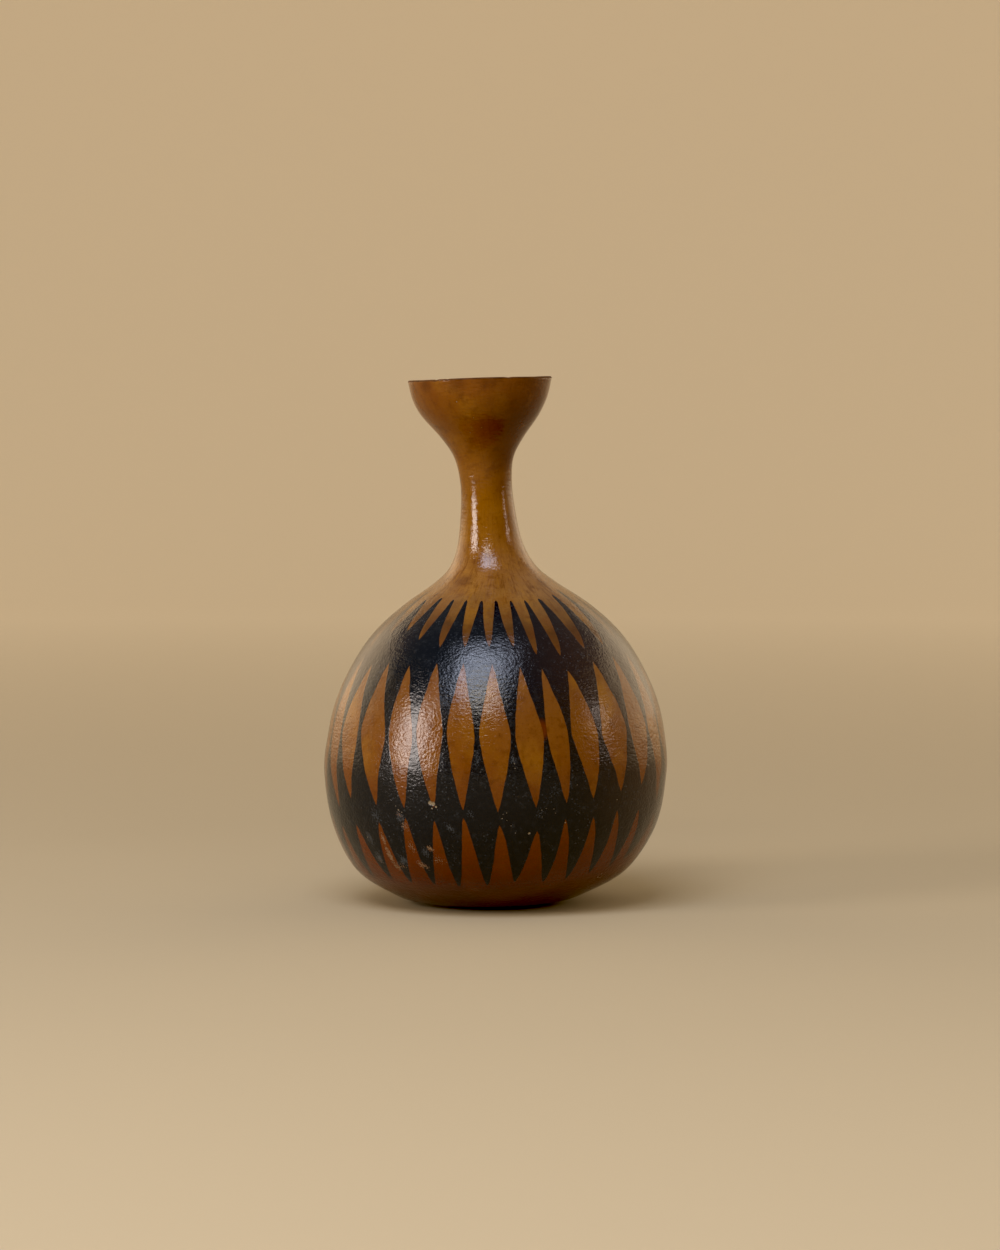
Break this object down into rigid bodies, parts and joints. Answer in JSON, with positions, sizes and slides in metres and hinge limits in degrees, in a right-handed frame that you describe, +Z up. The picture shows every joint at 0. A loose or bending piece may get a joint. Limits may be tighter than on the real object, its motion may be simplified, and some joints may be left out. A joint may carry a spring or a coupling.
{
  "type": "dried bottle gourd",
  "caption": "Dried bottle gourd made into an open vessel: round belly with a painted lozenge band, slim open neck and a cup-shaped mouth.",
  "frame": {"origin": "bottom centre of the gourd's box, on the plane of its flat resting spot", "axes": "+Z up along the gourd to its mouth, -Y the front that the picture shows, +X to the right in the picture, where the rim is a little higher"},
  "size_m": [0.2162, 0.213, 0.3313],
  "materials": {
    "gourd_skin": "waxed dry gourd rind, ochre brown with a near-black painted band, glossy outside, dull and fibrous inside"
  },
  "bodies": {
    "root": {"gourd_shell": "gourd_skin"}
  },
  "joints": []
}
